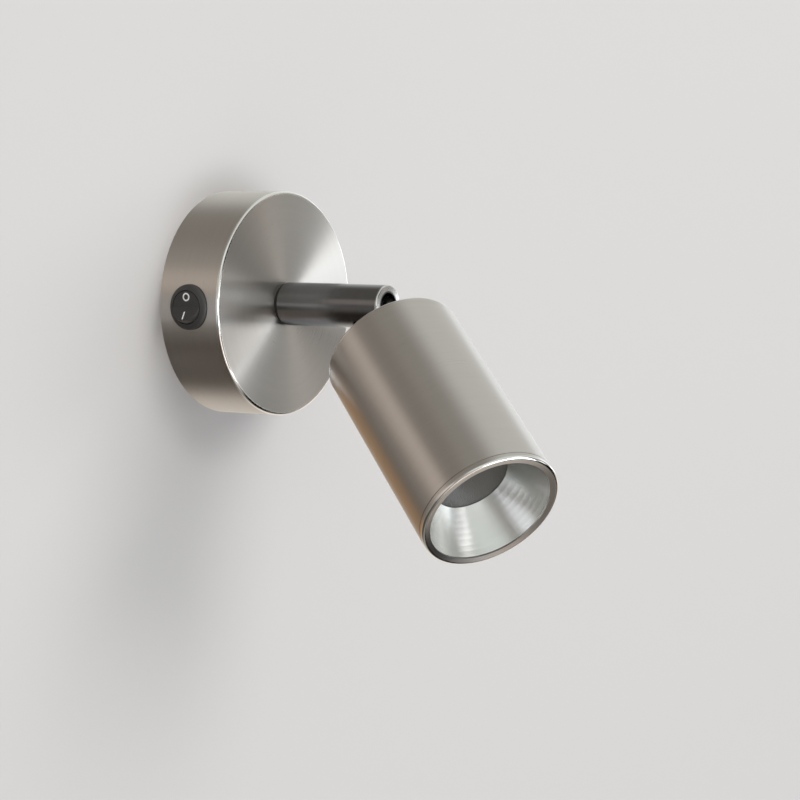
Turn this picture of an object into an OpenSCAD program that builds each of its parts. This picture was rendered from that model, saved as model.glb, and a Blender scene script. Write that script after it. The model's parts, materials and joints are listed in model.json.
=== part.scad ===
// Wall spotlight: round canopy with a rocker switch, a swivelling tube arm and a tilting cylinder head.
// The wall is the plane y = 0, the light stands out towards -y, z is up, and the origin is on the wall
// behind the middle of the canopy.

/* [Canopy] */
// Outside diameter of the canopy
canopy_d = 100; // [90:1:120]
// Depth of the canopy from the wall to its face
canopy_depth = 31.5; // [29:0.5:40]
// Wall of the canopy, face and rim
canopy_wall = 2; // [1.6:0.1:2.4]
// Rounding between the canopy's rim and face
canopy_edge = 1.2; // [0.6:0.1:1.6]

/* [Wall plate] */
// Distance between the two wall screws
screw_spacing = 60; // [50:1:66]
// Width of the slots for the wall screws
slot_width = 4.6; // [4:0.1:6]
// Length of those slots, end to end
slot_length = 10; // [8:0.5:14]
// Diameter of the hole for the mains cable
cable_hole_d = 16; // [12:1:20]
// Thickness of the plate
plate_t = 1.5; // [1.2:0.1:2]

/* [Switch] */
// Outside diameter of the switch bezel
bezel_d = 19.9; // [19.5:0.1:21]
// Radius of the rocker about its axle
rocker_r = 7.26; // [7:0.02:7.4]
// Whole throw of the rocker, in degrees
rocker_throw = 28; // [20:1:30]

/* [Arm] */
// Outside diameter of the arm tube
arm_d = 19.2; // [18.4:0.1:22]
// Distance from the wall to the arm's open end
arm_reach = 86.2; // [84:0.1:110]
// Diameter of the arm's mouth
mouth_d = 12.4; // [11.6:0.1:13]
// Distance of the pivot behind the mouth
pivot_back = 11.4; // [10.5:0.1:13]
// Turn of the arm from straight down, in degrees, clockwise below zero
swivel = -30; // [-170:1:170]
// Travel of the swivel to each side of straight down, in degrees
swivel_travel = 170; // [160:1:172]

/* [Joint] */
// Diameter of the ball
ball_d = 14; // [13.6:0.1:14.6]
// Diameter of the neck that moves in the arm's slot
neck_d = 6.2; // [5.6:0.1:6.4]
// Diameter of the shoulder between neck and head
shoulder_d = 12.4; // [11.6:0.1:14]
// Tilt of the head from the arm's axis, in degrees
tilt = 45; // [0:1:90]

/* [Head] */
// Outside diameter of the head
head_d = 60.6; // [58:0.1:70]
// Length of the head with its front ring
head_len = 99.1; // [96:0.1:120]
// Distance from the pivot to the head's rear face
head_gap = 29.8; // [28:0.1:40]
// Wall of the head
head_wall = 1.8; // [1.2:0.1:2]
// Length of the front ring that shows
ring_len = 3.3; // [2.6:0.1:4]
// Width of the front ring's face
ring_face = 3.45; // [3.3:0.05:4.3]
// Diameter of the opening over the lamp
window_d = 32.6; // [28:0.1:38]
// Depth of that opening behind the head's front
window_depth = 19.5; // [16:0.1:22]

/* [Hidden] */
$fn = 96;

// Fits and clearances
over = 1; // how far a cut runs past what it cuts
run_gap = 0.05; // running fit, on the radius and between sliding faces
fit_gap = 0.05; // fixed fit between pieces of one body, on the radius
air = 0.3; // clear of a piece that moves by
bend_r = 0.8; // inside radius where sheet is bent
arc_steps = 8; // lengths of one rounded edge

// Canopy
canopy_r = canopy_d / 2;
canopy_in_r = canopy_r - canopy_wall;
face_z = canopy_depth - canopy_wall;

// Switch: its seat is a flat milled where the rim's curve is as wide as the bezel
bezel_r = bezel_d / 2;
switch_z = canopy_depth / 2;
seat_gap = 0.15;
seat_sink = 0.1;
seat_x = sqrt(pow(canopy_r, 2) - pow(bezel_r + seat_gap, 2)) - seat_sink;
bezel_side = 1.1;
bezel_dome = 1.95;
rim_h = bezel_side + bezel_dome;
rocker_face = 1.5;
switch_tilt = rocker_throw / 2;
rocker_z = rim_h - rocker_face * cos(switch_tilt);
rocker_under = 4.5;
rocker_room = rocker_r + air;
axle_r = 0.8;
axle_len = 8.3;
switch_body_r = 8.9;
switch_body_len = 13;
clip_out = 0.9;
clip_len = 3;
clip_w = 5;
blade_w = 4.8;
blade_t = 0.8;
blade_len = 7;
blade_root = 3;
blade_gap = 4;
blade_hole_r = 0.8;

// Wall plate with two lugs
plate_gap = 3;
plate_r = canopy_in_r - plate_gap;
lug_w = 14;
lug_h = 16;
lug_gap = 0.8;
lug_out = canopy_in_r - lug_gap;
lug_screw_z = 9;
grub_r = 2;
grub_len = 8;
grub_sink = 0.4;
grub_hex_r = 1.15;
grub_hex_deep = 2;

// Terminal block
pole_pitch = 9;
pole_w = 7;
block_l = 28;
block_w = 15;
block_h = 11;
block_base = 5;
block_y = 27;
pole_h = 5.4;
pole_z = plate_t + pole_h;
clamp_r = 2.2;
clamp_bore_r = 1.4;
clamp_len = 12;
clamp_screw_r = 1.3;
block_screw_r = 1.4;
block_screw_head_r = 1.5;
block_screw_head = 1.8;
block_screw_y = 4;
driver_w = 0.5;

// Earth screw
earth_x = 16;
earth_y = -24;
earth_r = 2;
earth_head_r = 3.6;
earth_head = 2.4;
earth_cup_r = 4.4;
earth_cup = 0.8;

// Arm
arm_r = arm_d / 2;
washer_r = 9;
washer_t = 1.4;
arm_root = canopy_depth + washer_t + run_gap;
arm_edge = 0.8;
root_edge = 0.3;
pivot_z = arm_reach - pivot_back;
ball_r = ball_d / 2;
ball_room = ball_r + run_gap;
mouth_r = mouth_d / 2;
neck_r = neck_d / 2;
neck_slot = neck_d + air * 2;
stud_r = 5;
stud_bore_r = 3;
stud_flat = 4.2;
stud_tail = 2.5;
plug_len = 8;
plug_sink = 0.4;

// Swivel fittings inside the canopy
pin_r = 0.9;
pin_ring = 13.5;
pin_root = 1;
friction_r = 10;
friction_t = 1.2;
stop_t = 1.2;
stop_r = 8.5;
stop_tab_w = 2 * (pin_ring * sin(180 - swivel_travel) - pin_r - run_gap);
stop_tab_r = pin_ring + pin_r;
nut_h = 5;
nut_af = 14;
stop_z = face_z - friction_t - run_gap - stop_t;
nut_z = stop_z - nut_h;
stud_end = nut_z - stud_tail;

// Spring and seat behind the ball
seat_back = 7;
seat_front = 3.6;
seat_hole_r = 3.2;
seat_side = 0.25;
spring_wire_r = 0.6;
spring_r = 5.4;
spring_turns = 7;
spring_steps = 12;
spring_sides = 8;
spring_count = spring_turns * spring_steps;
plug_top = arm_root + plug_sink + plug_len;
seat_z = pivot_z - seat_back;
spring_low = plug_top + spring_wire_r + fit_gap;
spring_climb = seat_z - spring_wire_r - fit_gap - spring_low;

// Stem and its fixing in the head
neck_len = sqrt(pow(pivot_back, 2) + pow(arm_r, 2)) + air;
shoulder_r = shoulder_d / 2;
shoulder_edge = 0.6;
stem_r = 5;
stem_bore_r = 1.9;
rear_wall = 3;
strip_t = 1;
stud_washer_r = 8.5;
stud_washer_t = 1;
stud_nut_h = 4;
stem_tail = 1.4;
inner_z = head_gap + rear_wall;
stem_end = inner_z + strip_t + stud_washer_t + stud_nut_h + stem_tail;

// Head
head_r = head_d / 2;
head_in_r = head_r - head_wall;
rear_edge = 1;
front_z = head_gap + head_len;
seam_z = front_z - ring_len;
rim_r = head_r - ring_face;
ring_edge = 1.1;
rim_sink = 0.5;
lip_t = 0.8;
sleeve_t = 1;
sleeve_len = 6;
seam_w = 0.35;
sleeve_r = head_in_r - fit_gap * 2;
land_r = sleeve_r - sleeve_t;
land_len = 3;
lip_z = front_z - rim_sink - lip_t;
reflector_t = 0.9;
reflector_bulge = 0.8;
window_r = window_d / 2;
window_z = front_z - window_depth;

// Lamp
lamp_gap = 0.3;
lamp_side = 3.5;
lamp_z = window_z - lamp_gap;
lamp_len = 54;
lamp_r = head_in_r - lamp_side;
lamp_rim = 6;
lamp_neck_r = 11.5;
lamp_neck = 9.4;
lamp_taper_r = 13.5;
lamp_step = 2;
lamp_bezel = 5;
lamp_face_r = lamp_r - lamp_bezel;
lamp_face_t = 1.2;
pin_pitch = 10;
lamp_pin_r = 1.3;
lamp_pin_head_r = 2.4;
lamp_pin_head = 2;
lamp_pin_len = 6.6;
lamp_back = lamp_z - lamp_len + lamp_pin_len;

// Lamp holder on its strip
holder_r = 15;
holder_w = 22;
holder_h = 11;
holder_gap = 0.3;
holder_front = lamp_back - holder_gap;
holder_z = holder_front - holder_h;
pocket_r = 2.9;
pocket_floor = 3.6;
holder_screw_y = 10;
holder_screw_r = 1.45;
holder_head_r = 2.8;
holder_head = 2;
holder_sink = 3;
holder_screw_tail = 2.4;
strip_w = 14;
strip_y = 13.5;
strip_tab = 7;

// Leads
lead_r = 0.7;
lead_pair = 0.85;
lead_run = 9;
lead_gap = 0.8;
lead_rings = 10;
lead_sides = 8;
blade_tip = -seat_x + switch_body_len + blade_len;
pair_end = stud_end - lead_gap;

// z runs out from the wall and y runs up
module wall_side() rotate([90, 0, 0]) children();

// The same, turned with the arm
module arm_side() wall_side() rotate([0, 0, swivel]) children();

// z runs along the head from the pivot
module head_side() arm_side() translate([0, 0, pivot_z]) rotate([tilt, 0, 0]) children();

// z runs out of the canopy's side from the switch's seat, x runs out from the wall
module switch_side() wall_side() translate([-seat_x, 0, switch_z]) rotate([0, -90, 0]) children();

// Points of a round stretch, from one angle to another
function arc(cx, cy, r, from, to) = [
    for (i = [0 : arc_steps])
        let (a = from + (to - from) * i / arc_steps) [cx + r * cos(a), cy + r * sin(a)]
];

// A flat ring or washer
module washer(r, bore, h) {
    difference() {
        cylinder(r = r, h = h);
        translate([0, 0, -over]) cylinder(r = bore, h = h + over * 2);
    }
}

// A hexagon nut with a chamfer on both sides
module hex_nut(af, bore, h) {
    corner = af / sqrt(3);
    intersection() {
        difference() {
            cylinder(r = corner, h = h, $fn = 6);
            translate([0, 0, -over]) cylinder(r = bore, h = h + over * 2);
        }
        rotate_extrude() polygon([
            [0, 0],
            [af / 2, 0],
            [corner, (corner - af / 2) / 2],
            [corner, h - (corner - af / 2) / 2],
            [af / 2, h],
            [0, h]
        ]);
    }
}

// A slot with round ends along x
module slot(l, w, h) {
    for (side = [-1, 1]) translate([side * (l - w) / 2, 0, 0]) cylinder(r = w / 2, h = h);
    translate([-(l - w) / 2, -w / 2, 0]) cube([l - w, w, h]);
}

// Smooth curve from a to b that leaves a along from_a and reaches b along to_b, and its direction
function curve(a, from_a, b, to_b, s) =
    a * pow(1 - s, 3) + (a + from_a) * 3 * s * pow(1 - s, 2)
    + (b - to_b) * 3 * pow(s, 2) * (1 - s) + b * pow(s, 3);
function slope(a, from_a, b, to_b, s) =
    from_a * pow(1 - s, 2) + (b - to_b - a - from_a) * 2 * s * (1 - s) + to_b * pow(s, 2);
function unit(v) = v / norm(v);

// Triangles of a tube whose rings of points follow each other, and of its two flat ends
function tube_faces(rings, sides) = concat(
    [
        for (i = [0 : rings - 1], k = [0 : sides - 1])
            let (a = i * sides, b = a + sides, n = (k + 1) % sides)
                each [[a + k, b + n, b + k], [a + k, a + n, b + n]]
    ],
    [
        for (k = [1 : sides - 2])
            let (a = rings * sides) each [[0, k + 1, k], [a, a + k, a + k + 1]]
    ]
);

// A round lead on such a curve, with a straight run before it if it has one. Its rings are laid out
// from a direction that it never takes.
module lead(a, from_a, b, to_b, across, straight = 0) {
    first = straight > 0 ? -1 : 0;
    polyhedron(
        points = [
            for (i = [first : lead_rings], k = [0 : lead_sides - 1])
                let (
                    s = max(i, 0) / lead_rings,
                    along = unit(slope(a, from_a, b, to_b, s)),
                    u = unit(cross(along, across)),
                    v = cross(u, along),
                    w = 360 * k / lead_sides,
                    middle = curve(a, from_a, b, to_b, s) - along * (i < 0 ? straight : 0)
                ) middle + (u * cos(w) + v * sin(w)) * lead_r
        ],
        faces = tube_faces(lead_rings - first, lead_sides)
    );
}

// Outline of sheet that runs out flat from the middle and turns up over a round bend, before it ends
function bend_out(x, low, t) = arc(x - bend_r - t, low + bend_r + t, bend_r + t, -90, 0);
function bend_in(x, low, t) = arc(x - bend_r - t, low + bend_r + t, bend_r, 0, -90);

// Carries such an outline across the sheet's width, centred
module across(w) translate([-w / 2, 0, 0]) rotate([90, 0, 90]) linear_extrude(w) children();

// Screw head with a driver's slot across it
module slotted_head(r, h) {
    difference() {
        cylinder(r = r, h = h);
        translate([-r - over, -driver_w / 2, h / 2]) cube([(r + over) * 2, driver_w, h]);
    }
}

module canopy() color("#b5b0a6") wall_side() difference() {
    rotate_extrude() polygon(concat(
        [[canopy_in_r, 0], [canopy_r, 0]],
        arc(canopy_r - canopy_edge, canopy_depth - canopy_edge, canopy_edge, 0, 90),
        [[stud_r + run_gap, canopy_depth], [stud_r + run_gap, face_z], [canopy_in_r, face_z]]
    ));
    translate([-seat_x, 0, switch_z]) rotate([0, -90, 0])
        cylinder(r = bezel_r + seat_gap, h = canopy_wall + over);
    translate([-canopy_r, 0, switch_z]) rotate([0, 90, 0])
        cylinder(r = switch_body_r + seat_gap, h = canopy_wall * 2 + over);
    for (turn = [0, 180]) rotate([0, 0, turn])
        translate([0, canopy_in_r - over, lug_screw_z]) rotate([-90, 0, 0])
            cylinder(r = grub_r + seat_gap, h = canopy_wall + over * 2);
    translate([0, -pin_ring, face_z - over]) cylinder(r = pin_r + fit_gap, h = pin_root + over);
}

module wall_bracket() color("#9a9a98") wall_side() difference() {
    union() {
        cylinder(r = plate_r, h = plate_t);
        for (turn = [0, 180]) rotate([0, 0, turn]) {
            across(lug_w) polygon(concat(
                [[0, 0]],
                bend_out(lug_out, 0, plate_t),
                [[lug_out, lug_h - lug_w / 2], [lug_out - plate_t, lug_h - lug_w / 2]],
                bend_in(lug_out, 0, plate_t),
                [[0, plate_t]]
            ));
            translate([0, lug_out, lug_h - lug_w / 2]) rotate([90, 0, 0])
                cylinder(r = lug_w / 2, h = plate_t);
        }
    }
    translate([0, 0, -over]) cylinder(r = cable_hole_d / 2, h = plate_t + over * 2);
    for (side = [-1, 1]) translate([side * screw_spacing / 2, 0, -over])
        slot(slot_length, slot_width, plate_t + over * 2);
    for (turn = [0, 180]) rotate([0, 0, turn])
        translate([0, lug_out - plate_t - over, lug_screw_z]) rotate([-90, 0, 0])
            cylinder(r = grub_r + fit_gap, h = plate_t + over * 2);
    for (side = [-1, 1]) translate([side * pole_pitch / 2, block_y, -over])
        cylinder(r = block_screw_r + fit_gap, h = plate_t + over * 2);
    translate([earth_x, earth_y, -over]) cylinder(r = earth_r + fit_gap, h = plate_t + over * 2);
}

module canopy_screws() color("#6d6d6b") wall_side() for (turn = [0, 180]) rotate([0, 0, turn])
    translate([0, canopy_r - grub_sink, lug_screw_z]) rotate([90, 0, 0]) difference() {
        cylinder(r = grub_r, h = grub_len);
        translate([0, 0, -over]) cylinder(r = grub_hex_r, h = grub_hex_deep + over, $fn = 6);
    }

module terminal_block() color("#e8e6df") wall_side() translate([0, block_y, plate_t]) difference() {
    union() {
        translate([-block_l / 2, -block_w / 2, 0]) cube([block_l, block_w, block_base]);
        for (pole = [-1, 0, 1]) translate([pole * pole_pitch - pole_w / 2, -block_w / 2, 0])
            cube([pole_w, block_w, block_h]);
    }
    for (pole = [-1, 0, 1]) translate([pole * pole_pitch, block_w / 2 + over, pole_h])
        rotate([90, 0, 0]) cylinder(r = clamp_r + fit_gap, h = block_w + over * 2);
    for (pole = [-1, 0, 1]) for (side = [-1, 1])
        translate([pole * pole_pitch, side * block_screw_y, pole_h])
            cylinder(r = clamp_screw_r + fit_gap, h = block_h);
    for (side = [-1, 1]) translate([side * pole_pitch / 2, 0, 0]) {
        translate([0, 0, -over]) cylinder(r = block_screw_r + fit_gap, h = block_base + over * 2);
        translate([0, 0, block_base]) cylinder(r = block_screw_head_r + fit_gap, h = block_h);
    }
}

module terminal_clamps() color("#c9a24b") wall_side() translate([0, block_y, pole_z])
    for (pole = [-1, 0, 1]) translate([pole * pole_pitch, clamp_len / 2, 0]) rotate([90, 0, 0])
        difference() {
            cylinder(r = clamp_r, h = clamp_len);
            translate([0, 0, -over]) cylinder(r = clamp_bore_r, h = clamp_len + over * 2);
            for (side = [-1, 1]) translate([0, 0, clamp_len / 2 + side * block_screw_y])
                rotate([-90, 0, 0]) cylinder(r = clamp_screw_r + fit_gap, h = clamp_r + over);
        }

module terminal_screws() color("#8d8d8a") wall_side() translate([0, block_y, pole_z + clamp_bore_r])
    for (pole = [-1, 0, 1]) for (side = [-1, 1]) translate([pole * pole_pitch, side * block_screw_y, 0])
        slotted_head(clamp_screw_r, plate_t + block_h - pole_z - clamp_bore_r - air);

module block_screws() color("#8d8d8a") wall_side() for (side = [-1, 1])
    translate([side * pole_pitch / 2, block_y, air]) {
        cylinder(r = block_screw_r, h = plate_t + block_base - air);
        translate([0, 0, plate_t + block_base - air]) slotted_head(block_screw_head_r, block_screw_head);
    }

module earth_screw() color("#c9a24b") wall_side() translate([earth_x, earth_y, air]) {
    cylinder(r = earth_r, h = plate_t + earth_cup * 2 - air);
    translate([0, 0, plate_t + earth_cup * 2 - air]) slotted_head(earth_head_r, earth_head);
}

module earth_washer() color("#b9b9b4") wall_side() translate([earth_x, earth_y, plate_t])
    rotate_extrude() polygon([
        [earth_r + fit_gap, earth_cup],
        [earth_head_r, earth_cup],
        [earth_head_r, 0],
        [earth_cup_r, 0],
        [earth_cup_r, earth_cup * 2],
        [earth_r + fit_gap, earth_cup * 2]
    ]);

module switch_housing() color("#2b2a2a") switch_side() difference() {
    union() {
        rotate_extrude() polygon(concat(
            [[0, 0], [bezel_r, 0]],
            [for (i = [0 : arc_steps]) let (a = 90 * i / arc_steps) [
                rocker_room - axle_r + (bezel_r - rocker_room + axle_r) * cos(a),
                bezel_side + bezel_dome * sin(a)
            ]],
            [[0, rim_h]]
        ));
        translate([0, 0, -switch_body_len]) cylinder(r = switch_body_r, h = switch_body_len);
        for (turn = [0, 180]) rotate([0, 0, turn]) translate([switch_body_r, clip_w / 2, 0])
            rotate([90, 0, 0]) linear_extrude(clip_w) polygon([
                [-over, -canopy_wall],
                [clip_out, -canopy_wall],
                [0, -canopy_wall - clip_len],
                [-over, -canopy_wall - clip_len]
            ]);
    }
    translate([0, 0, rocker_z]) sphere(r = rocker_room);
    translate([-axle_len - air, 0, rocker_z]) rotate([0, 90, 0])
        cylinder(r = axle_r + run_gap, h = (axle_len + air) * 2);
    for (side = [-1, 1]) translate([0, side * blade_gap, (blade_root - over) / 2 - switch_body_len])
        cube([blade_w + fit_gap * 2, blade_t + fit_gap * 2, blade_root + over], center = true);
}

module switch_terminals() color("#c0b48a") switch_side() for (side = [-1, 1])
    translate([0, side * blade_gap, -switch_body_len - blade_len]) difference() {
        translate([-blade_w / 2, -blade_t / 2, 0]) cube([blade_w, blade_t, blade_len + blade_root]);
        translate([0, blade_t, blade_len / 2]) rotate([90, 0, 0])
            cylinder(r = blade_hole_r, h = blade_t * 2);
    }

module switch_rocker() color("#343333") switch_side() translate([0, 0, rocker_z])
    rotate([-switch_tilt, 0, 0]) {
        intersection() {
            sphere(r = rocker_r);
            across(rocker_r * 2) polygon([
                [0, rocker_face],
                [rocker_r, rocker_face + rocker_r * tan(switch_tilt)],
                [rocker_r, -rocker_under],
                [-rocker_r, -rocker_under],
                [-rocker_r, rocker_face + rocker_r * tan(switch_tilt)]
            ]);
        }
        translate([-axle_len, 0, 0]) rotate([0, 90, 0]) cylinder(r = axle_r, h = axle_len * 2);
    }

module live_leads() color("#6b4423") wall_side() {
    lead(
        [blade_tip, blade_gap, switch_z], [lead_run, 0, 0],
        [-pole_pitch, block_y - clamp_len / 2, pole_z], [0, lead_run, 0], [0, 0, 1]
    );
    lead(
        [blade_tip, -blade_gap, switch_z], [lead_run, 0, 0],
        [-lead_pair, 0, pair_end], [0, 0, lead_run], [0, 1, 0]
    );
}

module neutral_lead() color("#2f5fa8") wall_side() lead(
    [0, block_y - clamp_len / 2, pole_z], [0, -lead_run, 0],
    [lead_pair, 0, pair_end], [0, 0, lead_run], [1, 0, 0]
);

module earth_lead() color("#5a9a3c") wall_side() lead(
    [pole_pitch, block_y - clamp_len / 2, pole_z], [0, -lead_run, 0],
    [earth_x, earth_y + earth_cup_r, plate_t + earth_cup], [0, -lead_run, 0], [0, 0, 1]
);

module arm_washer() color("#1c1c1c") wall_side() translate([0, 0, canopy_depth])
    washer(washer_r, stud_r + air, washer_t);

module friction_washer() color("#e2dfd6") wall_side() translate([0, 0, face_z - friction_t])
    washer(friction_r, stud_r + air, friction_t);

module stop_pin() color("#8d8d8a") wall_side() translate([0, -pin_ring, stop_z])
    cylinder(r = pin_r, h = face_z + pin_root - stop_z);

module arm_tube() color("#4a4b4f") arm_side() difference() {
    rotate_extrude() polygon(concat(
        [[mouth_r, arm_root], [arm_r - root_edge, arm_root], [arm_r, arm_root + root_edge]],
        arc(arm_r - arm_edge, arm_reach - arm_edge, arm_edge, 0, 90),
        [[mouth_r, arm_reach]]
    ));
    translate([0, 0, arm_root - over]) cylinder(r = ball_room, h = pivot_z - arm_root + over);
    translate([0, 0, pivot_z]) sphere(r = ball_room);
    translate([-neck_slot / 2, -arm_r - over, pivot_z])
        cube([neck_slot, arm_r + over, pivot_back + over]);
    translate([0, 0, pivot_z]) rotate([90, 0, 0]) cylinder(r = neck_slot / 2, h = arm_r + over);
}

module arm_plug() color("#8d8d8a") arm_side() difference() {
    union() {
        translate([0, 0, arm_root + plug_sink]) cylinder(r = ball_room - fit_gap, h = plug_len);
        translate([0, 0, stud_end]) cylinder(r = stud_r, h = arm_root + plug_len - stud_end);
    }
    translate([0, 0, stud_end - over])
        cylinder(r = stud_bore_r, h = arm_root + plug_len - stud_end + over * 2);
    translate([-stud_r, stud_flat, stud_end - over])
        cube([stud_r * 2, stud_r, face_z - friction_t - stud_end + over]);
}

module stop_washer() color("#a9a9a5") arm_side() translate([0, 0, stop_z]) difference() {
    union() {
        cylinder(r = stop_r, h = stop_t);
        translate([-stop_tab_w / 2, 0, 0]) cube([stop_tab_w, stop_tab_r, stop_t]);
    }
    difference() {
        translate([0, 0, -over]) cylinder(r = stud_r + fit_gap, h = stop_t + over * 2);
        translate([-stud_r - over, stud_flat + fit_gap, -over * 2])
            cube([(stud_r + over) * 2, stud_r, stop_t + over * 4]);
    }
}

module arm_nut() color("#a9a9a5") arm_side() translate([0, 0, nut_z])
    hex_nut(nut_af, stud_r + fit_gap, nut_h);

module joint_spring() color("#9fa0a0") arm_side() polyhedron(
    points = [
        for (i = [0 : spring_count], k = [0 : spring_sides - 1])
            let (
                a = 360 * i / spring_steps,
                b = 360 * k / spring_sides,
                r = spring_r + spring_wire_r * cos(b),
                z = spring_low + spring_climb * i / spring_count + spring_wire_r * sin(b)
            ) [r * cos(a), r * sin(a), z]
    ],
    faces = tube_faces(spring_count, spring_sides)
);

module ball_seat() color("#dcd8cc") arm_side() difference() {
    translate([0, 0, seat_z]) cylinder(r = ball_room - seat_side, h = pivot_z - seat_front - seat_z);
    translate([0, 0, seat_z - over]) cylinder(r = seat_hole_r, h = seat_back + over * 2);
    translate([0, 0, pivot_z]) sphere(r = ball_room);
}

module arm_leads() color("#3a3a3a") arm_side() for (side = [-1, 1])
    translate([side * lead_pair, 0, stud_end]) cylinder(r = lead_r, h = pivot_z - stud_end - air);

module ball_stud() color("#a9aaad") head_side() difference() {
    union() {
        sphere(r = ball_r);
        rotate_extrude() polygon([
            [0, 0],
            [neck_r, 0],
            [neck_r, neck_len],
            [shoulder_r - shoulder_edge, neck_len + shoulder_r - neck_r - shoulder_edge],
            [shoulder_r, neck_len + shoulder_r - neck_r],
            [shoulder_r, head_gap],
            [stem_r, head_gap],
            [stem_r, stem_end],
            [0, stem_end]
        ]);
    }
    cylinder(r = stem_bore_r, h = stem_end + over);
    translate([-lead_pair - lead_r - air, -ball_r - over, -ball_r - over]) cube([
        (lead_pair + lead_r + air) * 2,
        ball_r + over + lead_r + air,
        ball_r + over + lead_r + air
    ]);
}

module stud_washer() color("#b9b9b4") head_side() translate([0, 0, inner_z + strip_t])
    washer(stud_washer_r, stem_r + fit_gap, stud_washer_t);

module stud_nut() color("#a9a9a5") head_side() translate([0, 0, inner_z + strip_t + stud_washer_t])
    hex_nut(nut_af, stem_r + fit_gap, stud_nut_h);

module head_housing() color("#b5b0a6") head_side() rotate_extrude() polygon(concat(
    [[stem_r + fit_gap, head_gap]],
    arc(head_r - rear_edge, head_gap + rear_edge, rear_edge, -90, 0),
    [[head_r, seam_z], [head_in_r, seam_z], [head_in_r, inner_z], [stem_r + fit_gap, inner_z]]
));

module holder_bracket() color("#9a9a98") head_side() difference() {
    for (turn = [0, 180]) rotate([0, 0, turn]) across(strip_w) polygon(concat(
        [[0, inner_z]],
        bend_out(strip_y, inner_z, strip_t),
        arc(strip_y - bend_r - strip_t, holder_z - bend_r - strip_t, bend_r + strip_t, 0, 90),
        [[strip_y - strip_tab, holder_z], [strip_y - strip_tab, holder_z - strip_t]],
        arc(strip_y - bend_r - strip_t, holder_z - bend_r - strip_t, bend_r, 90, 0),
        bend_in(strip_y, inner_z, strip_t),
        [[0, inner_z + strip_t]]
    ));
    translate([0, 0, inner_z - over]) cylinder(r = stem_r + fit_gap, h = strip_t + over * 2);
    for (side = [-1, 1]) translate([0, side * holder_screw_y, holder_z - strip_t - over])
        cylinder(r = holder_screw_r + fit_gap, h = strip_t + over * 2);
}

module lamp_holder() color("#ece8de") head_side() translate([0, 0, holder_z]) difference() {
    intersection() {
        cylinder(r = holder_r, h = holder_h);
        translate([-holder_w / 2, -holder_r, 0]) cube([holder_w, holder_r * 2, holder_h]);
    }
    for (side = [-1, 1]) translate([side * pin_pitch / 2, 0, -over]) {
        cylinder(r = lead_r + air, h = holder_h);
        translate([0, 0, pocket_floor + over]) cylinder(r = pocket_r, h = holder_h);
    }
    for (side = [-1, 1]) translate([0, side * holder_screw_y, -over]) {
        cylinder(r = holder_screw_r + fit_gap, h = holder_h + over * 2);
        translate([0, 0, holder_h - holder_sink + over])
            cylinder(r = holder_head_r + fit_gap, h = holder_sink + over);
    }
}

module holder_screws() color("#8d8d8a") head_side() for (side = [-1, 1])
    translate([0, side * holder_screw_y, holder_z - holder_screw_tail]) {
        cylinder(r = holder_screw_r, h = holder_screw_tail + holder_h - holder_sink);
        translate([0, 0, holder_screw_tail + holder_h - holder_sink])
            slotted_head(holder_head_r, holder_head);
    }

module lamp_body() color("#e4e2dc") head_side() rotate_extrude() polygon([
    [0, lamp_back],
    [lamp_neck_r, lamp_back],
    [lamp_neck_r, lamp_back + lamp_neck],
    [lamp_taper_r, lamp_back + lamp_neck + lamp_step],
    [lamp_r - lamp_step / 2, lamp_z - lamp_rim - lamp_step],
    [lamp_r, lamp_z - lamp_rim],
    [lamp_r, lamp_z],
    [lamp_face_r + fit_gap, lamp_z],
    [lamp_face_r + fit_gap, lamp_z - lamp_face_t],
    [0, lamp_z - lamp_face_t]
]);

module lamp_pins() color("#b9b9b4") head_side() for (side = [-1, 1])
    translate([side * pin_pitch / 2, 0, lamp_back - lamp_pin_len]) {
        cylinder(r = lamp_pin_r, h = lamp_pin_len);
        cylinder(r = lamp_pin_head_r, h = lamp_pin_head);
    }

module lamp_face() color("#8f8f8d") head_side() translate([0, 0, lamp_z - lamp_face_t])
    cylinder(r = lamp_face_r, h = lamp_face_t);

// The reflector swells a little between its two rims
function reflector_r(share) =
    window_r + (rim_r - window_r) * share + reflector_bulge * 4 * share * (1 - share);

module reflector() color("#c9cac9") head_side() rotate_extrude() polygon(concat(
    [for (i = [0 : arc_steps]) let (s = i / arc_steps)
        [reflector_r(s), window_z + (lip_z - window_z) * s]],
    [[land_r - fit_gap, lip_z], [land_r - fit_gap, lip_z - land_len]],
    [for (i = [arc_steps : -1 : 0]) let (s = i / arc_steps)
        if (reflector_r(s) + reflector_t < land_r - fit_gap - reflector_t / 2
            && window_z + (lip_z - window_z) * s < lip_z - land_len)
            [reflector_r(s) + reflector_t, window_z + (lip_z - window_z) * s]]
));

module front_ring() color("#aaa69d") head_side() rotate_extrude() polygon(concat(
    [[head_r - seam_w, seam_z], [head_r - seam_w, seam_z + seam_w], [head_r, seam_z + seam_w]],
    arc(head_r - ring_edge, front_z - ring_edge, ring_edge, 0, 90),
    [
        [rim_r, front_z - rim_sink],
        [rim_r, lip_z],
        [land_r, lip_z],
        [land_r, seam_z - sleeve_len],
        [sleeve_r, seam_z - sleeve_len],
        [sleeve_r, seam_z]
    ]
));

module head_leads() color("#3a3a3a") head_side() for (side = [-1, 1]) lead(
    [side * lead_pair, 0, stem_end], [0, 0, (holder_z - stem_end) / 2],
    [side * pin_pitch / 2, 0, holder_z + pocket_floor / 2], [0, 0, (holder_z - stem_end) / 2],
    [0, 1, 0], stem_end - lead_r - air
);

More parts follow.
